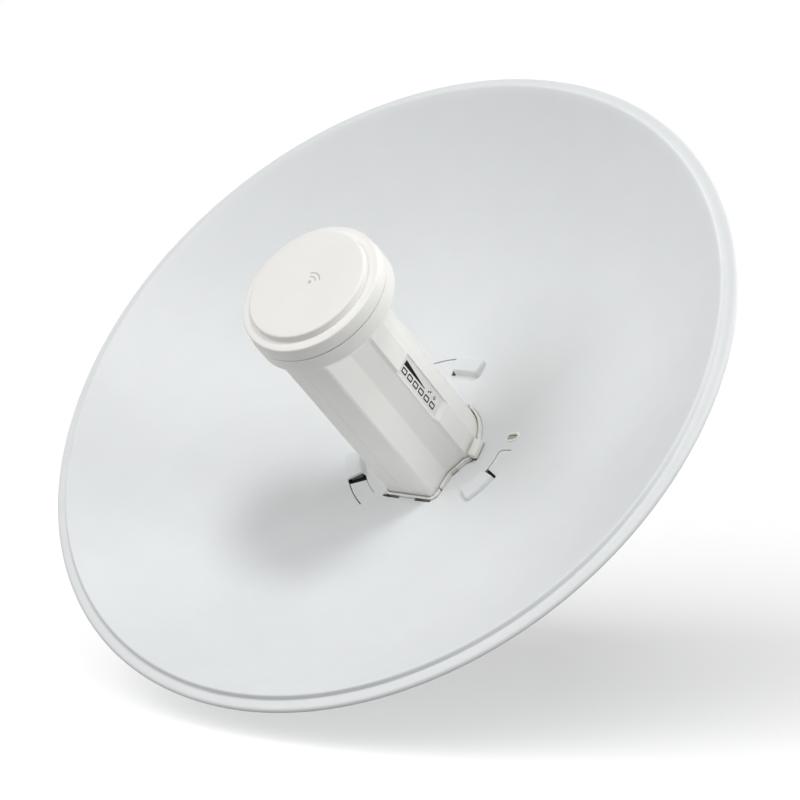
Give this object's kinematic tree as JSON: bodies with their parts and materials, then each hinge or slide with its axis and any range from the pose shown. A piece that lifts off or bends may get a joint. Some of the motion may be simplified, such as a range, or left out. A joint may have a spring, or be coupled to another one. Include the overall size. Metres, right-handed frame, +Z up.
{
  "type": "point-to-point dish antenna",
  "caption": "Parabolic dish antenna with a rolled rim, a snap-in rod feed with indicator panel and round cap, and a tilting mast clamp.",
  "frame": {"origin": "on the mast's axis, level with the elevation hinge", "axes": "+Z up along the mast, -Y the way the dish looks, +X the side of the indicator panel; the dish looks 40 degrees above the horizon at rest"},
  "size_m": [0.42, 0.3465, 0.3224],
  "materials": {
    "powder_coat": "light grey-white powder coat, fine grain",
    "white_plastic": "warm white moulded plastic, satin",
    "grey_plastic": "light grey moulded plastic, matt",
    "window": "pale smooth indicator film",
    "rubber": "black sealing rubber",
    "aluminium": "plain aluminium",
    "board": "green circuit board",
    "shield": "tinned steel cans",
    "steel": "zinc-plated steel"
  },
  "bodies": {
    "mast_mount": {"mast_bracket": "steel", "hinge_bolt": "steel", "hinge_nut": "steel", "lock_bolt_right": "steel", "lock_nut_right": "steel", "lock_bolt_left": "steel", "lock_nut_left": "steel", "clamp_bolt_right": "steel", "clamp_bolt_left": "steel"},
    "dish_head": {"reflector": "powder_coat", "feed_collar": "white_plastic", "feed_body_shell": "white_plastic", "feed_cover_shell": "white_plastic", "feed_cap": "white_plastic", "network_jack": "grey_plastic", "mount_hub": "grey_plastic", "led_window": "window", "cap_gasket": "rubber", "subreflector": "aluminium", "heat_spreader": "aluminium", "radiator_stack": "board", "main_board": "board", "led_board": "board", "radio_shield": "shield", "processor_shield": "shield", "hub_screw_1": "steel", "hub_screw_2": "steel", "hub_screw_3": "steel", "hub_screw_4": "steel", "tilt_bracket": "steel"},
    "clamp_jaw": {"clamp_jaw": "steel", "clamp_washer_right": "steel", "clamp_nut_right": "steel", "clamp_washer_left": "steel", "clamp_nut_left": "steel"},
    "collar_latch": {"collar_latch": "white_plastic"},
    "lock_button": {"lock_button": "grey_plastic"},
    "reset_button": {"reset_button": "grey_plastic"},
    "port_cover": {"port_cover": "white_plastic"}
  },
  "joints": [
    {"name": "elevation", "type": "hinge", "parent": "mast_mount", "child": "dish_head", "pos_m": [0, -0.046, 0], "axis": [-1, 0, 0], "range_deg": [-40, 10]},
    {"name": "jaw_slide", "type": "slide", "parent": "mast_mount", "child": "clamp_jaw", "axis": [0, 1, 0], "range_m": [-0.0115, 0.0139]},
    {"name": "collar_latch_press", "type": "slide", "parent": "dish_head", "child": "collar_latch", "axis": [1, 0, 0], "range_m": [0, 0.002], "stiffness_N_per_m": 2000},
    {"name": "lock_button_press", "type": "slide", "parent": "dish_head", "child": "lock_button", "axis": [0, 0.766, -0.6428], "range_m": [0, 0.005], "stiffness_N_per_m": 1500},
    {"name": "reset_press", "type": "slide", "parent": "dish_head", "child": "reset_button", "axis": [0, 0.6428, 0.766], "range_m": [0, 0.0008], "stiffness_N_per_m": 1500},
    {"name": "port_cover_slide", "type": "slide", "parent": "dish_head", "child": "port_cover", "axis": [0, 0.766, -0.6428], "range_m": [0, 0.014]}
  ]
}
